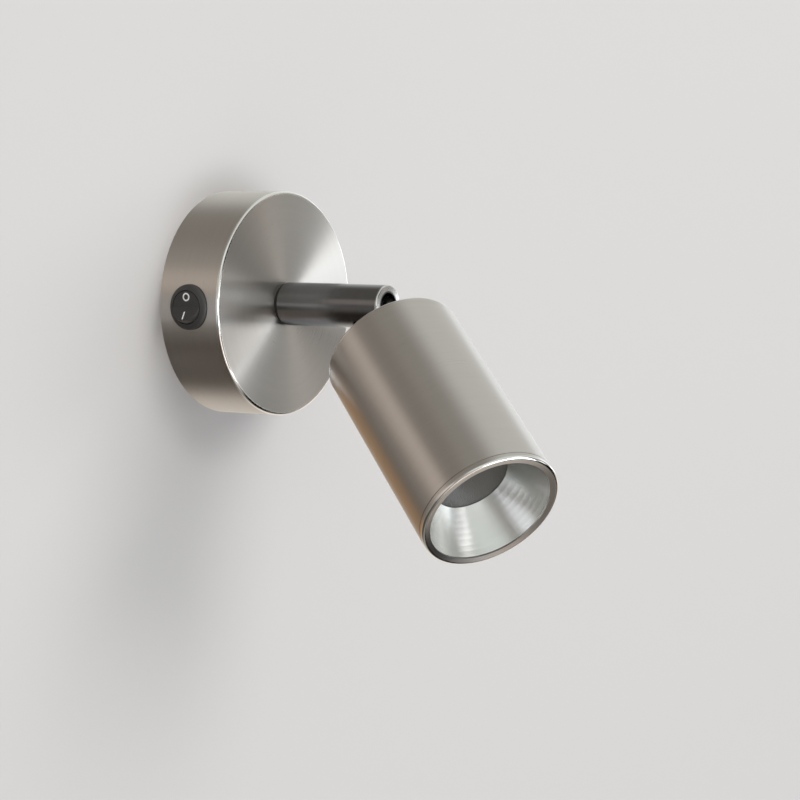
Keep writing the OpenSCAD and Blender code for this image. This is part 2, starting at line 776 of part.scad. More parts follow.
canopy();
wall_bracket();
canopy_screws();
terminal_block();
terminal_clamps();
terminal_screws();
block_screws();
earth_screw();
earth_washer();
switch_housing();
switch_terminals();
live_leads();
neutral_lead();
earth_lead();
arm_washer();
friction_washer();
stop_pin();
switch_rocker();
arm_tube();
arm_plug();
stop_washer();
arm_nut();
joint_spring();
ball_seat();
arm_leads();
ball_stud();
stud_washer();
stud_nut();
head_housing();
holder_bracket();
lamp_holder();
holder_screws();
lamp_body();
lamp_pins();
lamp_face();
reflector();
front_ring();
head_leads();
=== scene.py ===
import json
import math

import bpy
import numpy as np
from mathutils import Matrix, Vector


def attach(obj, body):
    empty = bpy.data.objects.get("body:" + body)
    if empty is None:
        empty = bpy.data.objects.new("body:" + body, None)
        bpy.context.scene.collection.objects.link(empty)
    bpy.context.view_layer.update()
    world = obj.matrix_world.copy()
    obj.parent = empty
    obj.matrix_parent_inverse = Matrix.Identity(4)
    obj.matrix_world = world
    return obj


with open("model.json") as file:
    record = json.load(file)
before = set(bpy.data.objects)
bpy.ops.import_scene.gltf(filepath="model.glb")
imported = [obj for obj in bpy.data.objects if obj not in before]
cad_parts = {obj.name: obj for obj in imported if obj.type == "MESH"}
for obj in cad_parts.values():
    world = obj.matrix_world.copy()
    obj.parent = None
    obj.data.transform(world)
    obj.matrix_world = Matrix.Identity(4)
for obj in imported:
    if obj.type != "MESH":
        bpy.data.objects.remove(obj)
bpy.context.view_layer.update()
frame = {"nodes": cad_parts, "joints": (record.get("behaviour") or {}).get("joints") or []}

scene = bpy.context.scene
scene.view_settings.view_transform = "Standard"
nodes = frame["nodes"]
joints = {joint["name"]: joint for joint in frame["joints"]}
mm = 0.001
print("frame loaded:", len(nodes), "pieces")

# Where things lie: the arm's axis, the pivot and the head's axis, from the joints
armAxis = Vector(joints["arm_swivel"]["axis"]).normalized()
tiltAxis = Vector(joints["head_tilt"]["axis"]).normalized()
pivot = Vector(joints["head_tilt"]["pos_m"])
headTilt = math.radians(45)  # how far the head stands off the arm's axis at rest
headAxis = Matrix.Rotation(headTilt, 3, tiltAxis) @ armAxis
rockerAxle = Vector(joints["switch_rock"]["pos_m"])

# Camera

cameraSettings = {
    "azimuth": -56.894,  # degrees, 0 looks along +Y
    "elevation": 5.009,
    "lens": 108.0,  # mm, on a sensor of 36 mm
    "sensor": 36.0,
    "frame": 800.0,  # pixels, square
    "rose": (229.69, 301.81),  # pixel of the middle of the canopy's back
    "distance": 1.08885,  # metres along the view from the lens to that point
}


def placeCamera(settings):
    # Back from the origin along the view, then sideways and up by the origin's place in the frame
    turn, lift = math.radians(settings["azimuth"]), math.radians(settings["elevation"])
    back = Vector((math.sin(turn) * math.cos(lift), -math.cos(turn) * math.cos(lift), math.sin(lift)))
    right = (-back).cross(Vector((0, 0, 1))).normalized()
    up = right.cross(-back)
    focal = settings["lens"] / settings["sensor"] * settings["frame"]
    across = (settings["rose"][0] - settings["frame"] / 2) / focal * settings["distance"]
    above = (settings["frame"] / 2 - settings["rose"][1]) / focal * settings["distance"]
    data = bpy.data.cameras.new("camera")
    data.lens = settings["lens"]
    data.sensor_width = settings["sensor"]
    camera = bpy.data.objects.new("camera", data)
    scene.collection.objects.link(camera)
    place = back * settings["distance"] - right * across - up * above
    facing = Matrix((right, up, back)).transposed()
    camera.matrix_world = Matrix.Translation(place) @ facing.to_4x4()
    scene.camera = camera


placeCamera(cameraSettings)
print("camera placed")

# Small helpers for node trees


def plug(tree, value, socket):
    if isinstance(value, bpy.types.NodeSocket):
        tree.links.new(value, socket)
    else:
        socket.default_value = value


def add(tree, kind, sockets=None, **settings):
    made = tree.nodes.new("ShaderNode" + kind)
    for key, value in settings.items():
        setattr(made, key, value)
    for key, value in (sockets or {}).items():
        plug(tree, value, made.inputs[key])
    return made


def maths(tree, operation, *values):
    made = add(tree, "Math", operation=operation)
    for socket, value in zip(made.inputs, values):
        plug(tree, value, socket)
    return made.outputs[0]


def vectors(tree, operation, *values):
    made = add(tree, "VectorMath", operation=operation)
    sockets = [made.inputs[0], made.inputs["Scale"]] if operation == "SCALE" else made.inputs
    for socket, value in zip(sockets, values):
        plug(tree, value, socket)
    return made.outputs["Value" if operation in ("DOT_PRODUCT", "LENGTH") else "Vector"]


def spread(tree, value, low, high, fromLow=0.0, fromHigh=1.0):
    made = add(tree, "MapRange", {"Value": value, "From Min": fromLow, "From Max": fromHigh,
                                  "To Min": low, "To Max": high})
    return made.outputs["Result"]


def blendColours(tree, share, first, second):
    made = add(tree, "Mix", data_type="RGBA")
    plug(tree, share, made.inputs["Factor"])
    plug(tree, (*first, 1) if isinstance(first, tuple) else first, made.inputs[6])
    plug(tree, (*second, 1) if isinstance(second, tuple) else second, made.inputs[7])
    return made.outputs[2]


def newGroup(name, takes, gives):
    tree = bpy.data.node_groups.new(name, "ShaderNodeTree")
    for socket, (kind, value) in takes.items():
        made = tree.interface.new_socket(socket, in_out="INPUT", socket_type="NodeSocket" + kind)
        made.default_value = value
    for socket, kind in gives.items():
        tree.interface.new_socket(socket, in_out="OUTPUT", socket_type="NodeSocket" + kind)
    return tree, tree.nodes.new("NodeGroupInput").outputs, tree.nodes.new("NodeGroupOutput").inputs


def useGroup(tree, group, sockets):
    made = tree.nodes.new("ShaderNodeGroup")
    made.node_tree = group
    for key, value in sockets.items():
        plug(tree, value, made.inputs[key])
    return made.outputs


# Effects that several finishes share

lineNoise = {
    "detail": 3.0,
    "roughness": 0.65,
    "bandShare": 0.06,  # how much slower the bands change than the lines
    "bandDetail": 2.0,
}


def makeTurnedLines(noise):
    # Fine lines that run round an axis, as turning or spinning leaves them: noise that changes
    # quickly along the outline (distance from the axis plus distance along it) and slowly round it
    tree, given, out = newGroup(
        "turnedLines",
        {"Place": ("Vector", (0, 0, 0)), "Centre": ("Vector", (0, 0, 0)), "Axis": ("Vector", (0, 0, 1)),
         "Pitch": ("Float", 0.1 * mm), "Length": ("Float", 1.0)},
        {"Lines": "Float", "Bands": "Float"})
    place = vectors(tree, "SUBTRACT", given["Place"], given["Centre"])
    along = vectors(tree, "DOT_PRODUCT", place, given["Axis"])
    outward = vectors(tree, "SUBTRACT", place, vectors(tree, "SCALE", given["Axis"], along))
    reach = vectors(tree, "LENGTH", outward)
    around = vectors(tree, "SCALE", vectors(tree, "NORMALIZE", outward), given["Length"])
    outline = maths(tree, "DIVIDE", maths(tree, "ADD", reach, along), given["Pitch"])
    slower = maths(tree, "MULTIPLY", outline, noise["bandShare"])
    fine = add(tree, "TexNoise", {"Vector": around, "W": outline, "Scale": 1.0, "Detail": noise["detail"],
                                  "Roughness": noise["roughness"]}, noise_dimensions="4D")
    slow = add(tree, "TexNoise", {"Vector": around, "W": slower, "Scale": 1.0,
                                  "Detail": noise["bandDetail"]}, noise_dimensions="4D")
    tree.links.new(fine.outputs["Fac"], out["Lines"])
    tree.links.new(slow.outputs["Fac"], out["Bands"])
    return tree


handlingNoise = {
    "detail": 4.0,
    "warp": 0.6,
    "smudges": (0.35, 0.7),  # noise from where a smudge starts to where it is full
    "dustScale": 90.0,  # specks of dust across one patch
    "dustDetail": 2.0,
    "specks": (0.62, 0.75),
}


def makeHandling(noise):
    # Faint patches where fingers and cloths have been, and fine dust
    tree, given, out = newGroup(
        "handling",
        {"Place": ("Vector", (0, 0, 0)), "Patch": ("Float", 20 * mm)},
        {"Smudge": "Float", "Dust": "Float"})
    scaled = vectors(tree, "SCALE", given["Place"], maths(tree, "DIVIDE", 1.0, given["Patch"]))
    smudge = add(tree, "TexNoise", {"Vector": scaled, "Scale": 1.0, "Detail": noise["detail"],
                                    "Distortion": noise["warp"]})
    dust = add(tree, "TexNoise", {"Vector": scaled, "Scale": noise["dustScale"],
                                  "Detail": noise["dustDetail"]})
    tree.links.new(spread(tree, smudge.outputs["Fac"], 0.0, 1.0, *noise["smudges"]), out["Smudge"])
    tree.links.new(spread(tree, dust.outputs["Fac"], 0.0, 1.0, *noise["specks"]), out["Dust"])
    return tree


grainNoise = {
    "cloudScale": 0.03,  # clouds of colour across one grain
    "cloudDetail": 3.0,
}


def makeMouldGrain(noise):
    # The even fine grain that a spark-eroded mould gives to plastic
    tree, given, out = newGroup(
        "mouldGrain",
        {"Place": ("Vector", (0, 0, 0)), "Grain": ("Float", 0.2 * mm)},
        {"Height": "Float", "Cloud": "Float"})
    scaled = vectors(tree, "SCALE", given["Place"], maths(tree, "DIVIDE", 1.0, given["Grain"]))
    cells = add(tree, "TexVoronoi", {"Vector": scaled, "Scale": 1.0}, feature="SMOOTH_F1")
    cloud = add(tree, "TexNoise", {"Vector": scaled, "Scale": noise["cloudScale"],
                                   "Detail": noise["cloudDetail"]})
    tree.links.new(cells.outputs["Distance"], out["Height"])
    tree.links.new(cloud.outputs["Fac"], out["Cloud"])
    return tree


fadeShare = 0.3  # share of the reach, at its outer end, over which the polish and the painted highlight fade


def makeRimPolishAndHighlight():
    # Where the polishing wheel has gone over a round edge, which also gets a painted highlight: one near the
    # circle with this radius and this distance along the axis, and nothing from the reach on
    tree, given, out = newGroup(
        "rimPolishAndHighlight",
        {"Place": ("Vector", (0, 0, 0)), "Centre": ("Vector", (0, 0, 0)), "Axis": ("Vector", (0, 0, 1)),
         "Radius": ("Float", 50 * mm), "Along": ("Float", 30 * mm), "Reach": ("Float", 1 * mm)},
        {"PolishAndHighlight": "Float"})
    place = vectors(tree, "SUBTRACT", given["Place"], given["Centre"])
    along = vectors(tree, "DOT_PRODUCT", place, given["Axis"])
    outward = vectors(tree, "SUBTRACT", place, vectors(tree, "SCALE", given["Axis"], along))
    aside = maths(tree, "SUBTRACT", vectors(tree, "LENGTH", outward), given["Radius"])
    above = maths(tree, "SUBTRACT", along, given["Along"])
    squares = maths(tree, "ADD", maths(tree, "POWER", aside, 2.0), maths(tree, "POWER", above, 2.0))
    far = maths(tree, "SQRT", squares)
    near = maths(tree, "SUBTRACT", 1.0, maths(tree, "DIVIDE", far, given["Reach"]))
    tree.links.new(spread(tree, near, 0.0, 1.0, 0.0, fadeShare), out["PolishAndHighlight"])
    return tree


turnedLines = makeTurnedLines(lineNoise)
rimPolishAndHighlight = makeRimPolishAndHighlight()
handling = makeHandling(handlingNoise)
mouldGrain = makeMouldGrain(grainNoise)


def startMaterial(name):
    material = bpy.data.materials.new(name)
    material.use_nodes = True
    tree = material.node_tree
    place = add(tree, "TexCoord").outputs["Object"]
    return material, tree, tree.nodes["Principled BSDF"], place


def setShader(shader, **values):
    for key, value in values.items():
        shader.inputs[key.replace("_", " ")].default_value = value


def joinMaps(tree, shader, colour, rough, height=None, strength=0.0, distance=0.0):
    # What changes over the surface: colour, roughness and, where asked, a bump
    tree.links.new(colour, shader.inputs["Base Color"])
    tree.links.new(rough, shader.inputs["Roughness"])
    if height is not None:
        bump = add(tree, "Bump", {"Height": height, "Strength": strength, "Distance": distance})
        tree.links.new(bump.outputs["Normal"], shader.inputs["Normal"])


def smudgedRoughness(tree, marks, settings):
    return spread(tree, marks["Smudge"], settings["rough"], settings["rough"] + settings["smudge"])


dustColour = (0.55, 0.53, 0.5)
dustHeight = 0.02 * mm
lineRange = (0.3, 0.7)  # noise of the lines between which the roughness swings
quarterTurn = 0.25


def turnedMetal(name, settings, centre, axis):
    # Metal whose brushing runs round an axis. The gloss spreads across the lines, so the shader's
    # tangent follows them and its rotation is a quarter turn
    material, tree, shader, place = startMaterial(name)
    lines = useGroup(tree, turnedLines, {"Place": place, "Centre": centre, "Axis": axis,
                                         "Pitch": settings["pitch"], "Length": settings["strokes"]})
    marks = useGroup(tree, handling, {"Place": place, "Patch": settings["patch"]})
    colour = blendColours(tree, lines["Bands"], settings["dark"], settings["light"])
    dust = maths(tree, "MULTIPLY", marks["Dust"], settings["dust"])
    colour = blendColours(tree, dust, colour, dustColour)
    radius, along, reach = settings["rim"]
    polishAndHighlight = useGroup(tree, rimPolishAndHighlight, {"Place": place, "Centre": centre, "Axis": axis, "Radius": radius,
                                    "Along": along, "Reach": reach})["PolishAndHighlight"]
    # The rim takes the lighter "edge" colour: a painted highlight along the round edge
    colour = blendColours(tree, polishAndHighlight, colour, settings["edge"])
    swing = spread(tree, lines["Lines"], -settings["lineRough"], settings["lineRough"], *lineRange)
    rough = maths(tree, "ADD", swing, smudgedRoughness(tree, marks, settings))
    rough = maths(tree, "MULTIPLY", rough, spread(tree, polishAndHighlight, 1.0, settings["polished"]))
    joinMaps(tree, shader, colour, rough, lines["Lines"], settings["bump"], settings["pitch"])
    away = vectors(tree, "SUBTRACT", place, centre)
    tangent = vectors(tree, "NORMALIZE", vectors(tree, "CROSS_PRODUCT", axis, away))
    tree.links.new(tangent, shader.inputs["Tangent"])
    setShader(shader, Metallic=1.0, Anisotropic=settings["anisotropy"], Anisotropic_Rotation=quarterTurn)
    return material


def plainMetal(name, settings):
    # Plated or bright metal without a direction
    material, tree, shader, place = startMaterial(name)
    marks = useGroup(tree, handling, {"Place": place, "Patch": settings["patch"]})
    colour = blendColours(tree, marks["Smudge"], settings["light"], settings["dark"])
    rough = smudgedRoughness(tree, marks, settings)
    joinMaps(tree, shader, colour, rough, marks["Dust"], settings["bump"], dustHeight)
    setShader(shader, Metallic=1.0)
    return material


def plastic(name, settings):
    # Moulded plastic, glaze or rubber: fine grain, slightly uneven colour
    material, tree, shader, place = startMaterial(name)
    grain = useGroup(tree, mouldGrain, {"Place": place, "Grain": settings["grain"]})
    marks = useGroup(tree, handling, {"Place": place, "Patch": settings["patch"]})
    colour = blendColours(tree, grain["Cloud"], settings["dark"], settings["light"])
    rough = smudgedRoughness(tree, marks, settings)
    joinMaps(tree, shader, colour, rough, grain["Height"], settings["bump"], settings["grain"])
    return material


def stripedSkin(name, settings):
    # Two colours along a lead, parted by the way its surface faces
    material, tree, shader, place = startMaterial(name)
    normal = tree.nodes["Texture Coordinate"].outputs["Normal"]
    facing = vectors(tree, "DOT_PRODUCT", normal, settings["towards"])
    share = spread(tree, facing, 0.0, 1.0, *settings["seam"])
    marks = useGroup(tree, handling, {"Place": place, "Patch": settings["patch"]})
    stripes = blendColours(tree, share, settings["stripe"], settings["light"])
    soiled = maths(tree, "MULTIPLY", marks["Smudge"], settings["soil"])
    colour = blendColours(tree, soiled, stripes, settings["dark"])
    joinMaps(tree, shader, colour, smudgedRoughness(tree, marks, settings))
    return material


def dress(name, material):
    slots = nodes[name].data.materials
    slots.clear()
    slots.append(material)


# Helpers for new surfaces


def addMesh(name, points, faces):
    data = bpy.data.meshes.new(name)
    data.from_pydata(points.tolist(), [], faces)
    data.update()
    made = bpy.data.objects.new(name, data)
    scene.collection.objects.link(made)
    return made


def gridFaces(rows, columns, closedRows=False, flip=False):
    # Quads between neighbouring rows and columns of a grid of points. The columns close on
    # themselves, and the rows too if asked. Flipped quads face the other way
    row = np.arange(rows if closedRows else rows - 1)[:, None]
    column = np.arange(columns)[None, :]
    below, after = (row + 1) % rows, (column + 1) % columns
    near, far = row * columns, below * columns
    corners = [near + column, near + after, far + after, far + column]
    return np.stack(corners[::-1] if flip else corners, -1).reshape(-1, 4).tolist()


def smooth(piece):
    piece.data.polygons.foreach_set("use_smooth", [True] * len(piece.data.polygons))
    return piece


# Finishes of the pieces that show. "pitch" is the width of a turned line and "strokes" how quickly it
# changes round the axis. "rim" is a polished edge with a painted highlight: its radius, its distance along
# the axis, and the reach of the polish. "polished" multiplies the roughness there, and "edge" is the
# lighter colour painted there as a highlight

canopyFinish = {
    "dark": (0.58, 0.545, 0.51), "light": (0.62, 0.585, 0.55), "rough": 0.28, "smudge": 0.02,
    "lineRough": 0.01, "pitch": 0.12 * mm, "strokes": 0.8, "bump": 0.01, "patch": 30 * mm, "dust": 0.03,
    "anisotropy": 1.0, "rim": (50 * mm, 31.5 * mm, 1.4 * mm), "polished": 0.4, "edge": (0.92, 0.9, 0.87)}
headFinish = {
    "dark": (0.58, 0.545, 0.51), "light": (0.62, 0.585, 0.55), "rough": 0.28, "smudge": 0.02,
    "lineRough": 0.008, "pitch": 0.1 * mm, "strokes": 0.8, "bump": 0.004, "patch": 30 * mm, "dust": 0.03,
    "anisotropy": 0.9, "rim": (30.3 * mm, 29.8 * mm, 1.5 * mm), "polished": 0.6, "edge": (0.66, 0.63, 0.6)}
ringFinish = {
    "dark": (0.56, 0.53, 0.5), "light": (0.62, 0.59, 0.56), "rough": 0.28, "smudge": 0.02,
    "lineRough": 0.01, "pitch": 0.08 * mm, "strokes": 0.8, "bump": 0.01, "patch": 20 * mm, "dust": 0.03,
    "anisotropy": 0.6, "rim": (30.3 * mm, 128.9 * mm, 1.6 * mm), "polished": 0.4, "edge": (0.85, 0.83, 0.8)}
reflectorFinish = {
    "dark": (0.76, 0.76, 0.745), "light": (0.82, 0.82, 0.8), "rough": 0.25, "smudge": 0.02,
    "lineRough": 0.004, "pitch": 0.1 * mm, "strokes": 0.8, "bump": 0.003, "patch": 20 * mm, "dust": 0.03,
    "anisotropy": 0.4, "rim": (26.9 * mm, 128.9 * mm, 0.8 * mm), "polished": 0.7, "edge": (0.9, 0.9, 0.89)}
tubeFinish = {
    "dark": (0.18, 0.18, 0.182), "light": (0.205, 0.205, 0.21), "rough": 0.12, "smudge": 0.02,
    "lineRough": 0.006, "pitch": 0.1 * mm, "strokes": 0.8, "bump": 0.004, "patch": 15 * mm, "dust": 0.02,
    "anisotropy": 0.95, "rim": (8.4 * mm, 86.6 * mm, 1.9 * mm), "polished": 1.8, "edge": (0.78, 0.77, 0.76)}
ballFinish = {"light": (0.42, 0.42, 0.42), "dark": (0.36, 0.36, 0.36), "rough": 0.12, "smudge": 0.05,
              "bump": 0.02, "patch": 8 * mm}
switchFinish = {"light": (0.05, 0.048, 0.047), "dark": (0.035, 0.034, 0.034), "rough": 0.38, "smudge": 0.08,
                "grain": 0.12 * mm, "bump": 0.1, "patch": 6 * mm}
rockerFinish = {"light": (0.045, 0.042, 0.041), "dark": (0.032, 0.03, 0.03), "rough": 0.34, "smudge": 0.08,
                "grain": 0.1 * mm, "bump": 0.08, "patch": 5 * mm}
washerFinish = {"light": (0.02, 0.02, 0.02), "dark": (0.015, 0.015, 0.015), "rough": 0.5, "smudge": 0.1,
                "grain": 0.1 * mm, "bump": 0.1, "patch": 6 * mm}
lampFinish = {"light": (0.1, 0.095, 0.086), "dark": (0.045, 0.042, 0.038), "rough": 0.42, "smudge": 0.06,
              "grain": 0.4 * mm, "bump": 0.5, "patch": 10 * mm}

dress("canopy", turnedMetal("spunNickel", canopyFinish, (0, 0, 0), tuple(armAxis)))
dress("head_housing", turnedMetal("brushedHead", headFinish, tuple(pivot), tuple(headAxis)))
dress("front_ring", turnedMetal("turnedRing", ringFinish, tuple(pivot), tuple(headAxis)))
dress("reflector", turnedMetal("satinReflector", reflectorFinish, tuple(pivot), tuple(headAxis)))
dress("arm_tube", turnedMetal("darkChrome", tubeFinish, (0, 0, 0), tuple(armAxis)))
dress("ball_stud", plainMetal("polishedSteel", ballFinish))
dress("switch_housing", plastic("blackPlastic", switchFinish))
dress("switch_rocker", plastic("blackRocker", rockerFinish))
dress("arm_washer", plastic("blackWasher", washerFinish))
dress("lamp_face", plastic("frostedFace", lampFinish))
print("outer finishes set")

# The two painted marks on the rocker, a ring above and a bar below

markSettings = {
    "lift": 0.04 * mm,  # how far the paint stands up
    "line": 0.34 * mm,  # half of the line's width
    "face": 1.455 * mm,  # from the axle out to the rocker's upper half
    "valley": 0.363 * mm,  # height of the line between the two halves over the axle
    "slope": math.radians(28),  # turn of the lower half from the upper
    "ringMiddle": 4.5 * mm,  # above the axle
    "ringRadius": 1.5 * mm,
    "barFrom": 2.4 * mm,  # along the lower half from that line
    "barTo": 6.2 * mm,
    "barTip": 0.01,  # width of the bar's first and last ellipse, as a share of the line
    "ringSteps": 64,  # sections round the ring
    "barSteps": 33,  # and along the bar
    "sides": 12,  # points round each section
}
paintFinish = {"light": (0.86, 0.86, 0.84), "dark": (0.8, 0.8, 0.78), "rough": 0.45, "smudge": 0.1,
               "grain": 0.1 * mm, "bump": 0.05, "patch": 3 * mm}


def fromAxle(out, across, up):
    # Points at these distances from the rocker's axle: out of the canopy, towards the wall and up
    places = np.broadcast_arrays(rockerAxle.x - out, rockerAxle.y + across, rockerAxle.z + up)
    return np.stack(places, -1).reshape(-1, 3)


def makeRingMark(settings):
    # A flat ring: round its middle line goes a low ellipse, as wide as the line and as high as the lift
    steps, sides = settings["ringSteps"], settings["sides"]
    around = np.linspace(0, 2 * math.pi, steps, endpoint=False)[:, None]
    over = np.linspace(0, 2 * math.pi, sides, endpoint=False)[None, :]
    radius = settings["ringRadius"] + settings["line"] * np.cos(over)
    across = radius * np.cos(around)
    up = settings["ringMiddle"] + radius * np.sin(around)
    out = settings["face"] + settings["lift"] * np.sin(over)
    return addMesh("ringMark", fromAxle(out, across, up), gridFaces(steps, sides, closedRows=True))


def makeBarMark(settings):
    # A bar with round ends: ellipses along the lower half, whose width follows a circle at each end
    steps, sides, line = settings["barSteps"], settings["sides"], settings["line"]
    share = np.linspace(0, math.pi, steps)[:, None]
    over = np.linspace(0, 2 * math.pi, sides, endpoint=False)[None, :]
    half = (settings["barTo"] - settings["barFrom"]) / 2
    along = settings["barFrom"] + half - half * np.cos(share)
    toEnd = np.minimum(half - np.abs(half * np.cos(share)), line)
    tip = settings["barTip"] * line
    width = np.sqrt(np.maximum(line ** 2 - (line - toEnd) ** 2, tip ** 2))
    across = width * np.cos(over)
    lift = settings["lift"] * width / line * np.sin(over)
    slope = settings["slope"]
    up = settings["valley"] - along * math.cos(slope) + lift * math.sin(slope)
    out = settings["face"] + along * math.sin(slope) + lift * math.cos(slope)
    firstEnd = list(range(sides))
    lastEnd = list(range((steps - 1) * sides, steps * sides))[::-1]
    faces = gridFaces(steps, sides, flip=True) + [firstEnd, lastEnd]
    return addMesh("barMark", fromAxle(out, across, up), faces)


paint = plastic("whitePaint", paintFinish)
for mark in (makeRingMark(markSettings), makeBarMark(markSettings)):
    smooth(mark).data.materials.append(paint)
    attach(mark, "rocker")
print("marks made")

# Finishes of the pieces inside

zincFinish = {"light": (0.62, 0.63, 0.62), "dark": (0.5, 0.5, 0.49), "rough": 0.32, "smudge": 0.12,
              "bump": 0.1, "patch": 10 * mm}
steelFinish = {"light": (0.5, 0.5, 0.5), "dark": (0.4, 0.4, 0.4), "rough": 0.25, "smudge": 0.12,
               "bump": 0.1, "patch": 4 * mm}
brassFinish = {"light": (0.75, 0.58, 0.28), "dark": (0.6, 0.45, 0.2), "rough": 0.25, "smudge": 0.15,
               "bump": 0.1, "patch": 4 * mm}
nylonFinish = {"light": (0.82, 0.81, 0.77), "dark": (0.76, 0.74, 0.7), "rough": 0.4, "smudge": 0.1,
               "grain": 0.2 * mm, "bump": 0.1, "patch": 6 * mm}
ceramicFinish = {"light": (0.86, 0.84, 0.79), "dark": (0.8, 0.77, 0.71), "rough": 0.22, "smudge": 0.2,
                 "grain": 0.3 * mm, "bump": 0.06, "patch": 8 * mm}
lampShellFinish = {"light": (0.85, 0.84, 0.81), "dark": (0.8, 0.79, 0.76), "rough": 0.35, "smudge": 0.08,
                   "grain": 0.2 * mm, "bump": 0.08, "patch": 10 * mm}
sleeveFinish = {"light": (0.07, 0.07, 0.07), "dark": (0.05, 0.05, 0.05), "rough": 0.45, "smudge": 0.1,
                "grain": 0.2 * mm, "bump": 0.15, "patch": 4 * mm}
leadColours = {"live_leads": (0.2, 0.09, 0.04), "neutral_lead": (0.05, 0.14, 0.42)}
leadShade = 0.8  # how dark a lead's darker patches are against its colour
earthFinish = {
    "light": (0.1, 0.36, 0.08), "stripe": (0.72, 0.6, 0.06), "dark": (0.06, 0.2, 0.05),
    "towards": (0.7, 0.5, 0.5),  # the way that the green side faces
    "seam": (-0.25, -0.15),  # facing at which yellow ends and green starts
    "soil": 0.3, "rough": 0.45, "smudge": 0.1, "patch": 4 * mm}

insideFinishes = {
    "zincPlate": (plainMetal, zincFinish, [
        "wall_bracket", "arm_plug", "stop_washer", "arm_nut", "stud_washer", "stud_nut", "holder_bracket"]),
    "platedSteel": (plainMetal, steelFinish, [
        "canopy_screws", "terminal_screws", "block_screws", "earth_washer", "stop_pin", "joint_spring",
        "holder_screws", "lamp_pins"]),
    "brass": (plainMetal, brassFinish, ["terminal_clamps", "earth_screw", "switch_terminals"]),
    "nylon": (plastic, nylonFinish, ["terminal_block", "friction_washer", "ball_seat"]),
    "glazedCeramic": (plastic, ceramicFinish, ["lamp_holder"]),
    "lampShell": (plastic, lampShellFinish, ["lamp_body"]),
    "leadSleeve": (plastic, sleeveFinish, ["arm_leads", "head_leads"]),
}
for name, (kind, settings, wearers) in insideFinishes.items():
    finish = kind(name, settings)
    for wearer in wearers:
        dress(wearer, finish)
for wearer, colour in leadColours.items():
    darker = tuple(leadShade * part for part in colour)
    dress(wearer, plastic(wearer + "Skin", {**sleeveFinish, "light": colour, "dark": darker}))
dress("earth_lead", stripedSkin("earthSkin", earthFinish))
print("inner finishes set")

# Wall, lamps and surroundings

wallSettings = {
    "colour": (0.452, 0.434, 0.424),
    "darker": 0.985,  # the darker patches of the paint, as a share of its colour
    "mottle": 400.0,  # patches in a metre
    "mottleDetail": 3.0,
    "rough": 0.9,
    "specular": 0.1,
    "opening": 48 * mm,  # radius of the hole that the canopy hides
    "reach": 3.0,  # metres
    "rings": 24,
    "sides": 96,
}
# A lamp stands off its target: "towards" is the way to it, its distance and diameter are in metres
keySettings = {"towards": (0.15, -0.88, 0.44), "distance": 4.0, "size": 3.0, "watts": 124.0}
# A small softbox close to the head's mouth, which only the metal mirrors
mouthSettings = {"towards": (0.16, -0.93, 0.33), "distance": 0.3, "size": 0.18, "watts": 0.1}
mouthReach = 125 * mm  # from the pivot to where it points
skySettings = {"shown": (0.7, 0.7, 0.695), "base": (0.29, 0.27, 0.245)}
# Soft panels round the light, each over those before it: azimuth (0 is out into the room, 90 to the
# right), elevation, turn, width and height in degrees, width of the soft edge, colour
softPanels = {
    "ceiling": (44, 52, 0, 188, 66, 30, (0.68, 0.7, 0.675)),
    "ceilingLeft": (-48, 42, 0, 54, 26, 20, (0.8, 0.85, 0.82)),
    "leftShelf": (-145, 19, 0, 90, 20, 12, (0.64, 0.57, 0.51)),
    "rightWall": (112, 4, 0, 56, 70, 26, (0.86, 0.88, 0.84)),
    "lowRight": (128, -44, 0, 70, 40, 30, (0.95, 0.88, 0.8)),
    "warmBehind": (160, -16, 0, 34, 24, 16, (0.5, 0.33, 0.2)),
    "glow": (98, 12, 0, 26, 20, 14, (1.3, 1.35, 1.4)),
    "leftStrip": (-18, -6, 0, 50, 18, 6, (2.8, 2.9, 3.0)),
    "lowLeft": (-122, -50, 0, 108, 50, 26, (0.07, 0.06, 0.05)),
    "tableFront": (-26, -36, 0, 52, 44, 16, (1.1, 0.98, 0.9)),
    "lowerBox": (8, -18, 20, 44, 26, 8, (4.1, 4.5, 4.9)),
    "darkFloor": (46, -38, 0, 30, 60, 7, (0.0, 0.0, 0.0)),
    "streak": (40, -9, 20, 32, 6, 4, (1.9, 2.0, 2.05)),
    "warmBounce": (82, -18, 0, 30, 14, 12, (1.1, 0.95, 0.85)),
    "thinShelf": (74, -6, 0, 30, 4, 3, (0.0, 0.0, 0.0)),
    "smallBox": (85, 1, 0, 22, 8, 4, (3.0, 3.1, 3.2)),
    "darkShelf": (18, 17, 0, 48, 24, 9, (0.0, 0.0, 0.0)),
    "darkLeft": (-52, -14, 0, 46, 14, 8, (0.2, 0.25, 0.25)),
    "sideBox": (-99, -4, 0, 30, 24, 8, (0.8, 0.8, 0.82)),
}


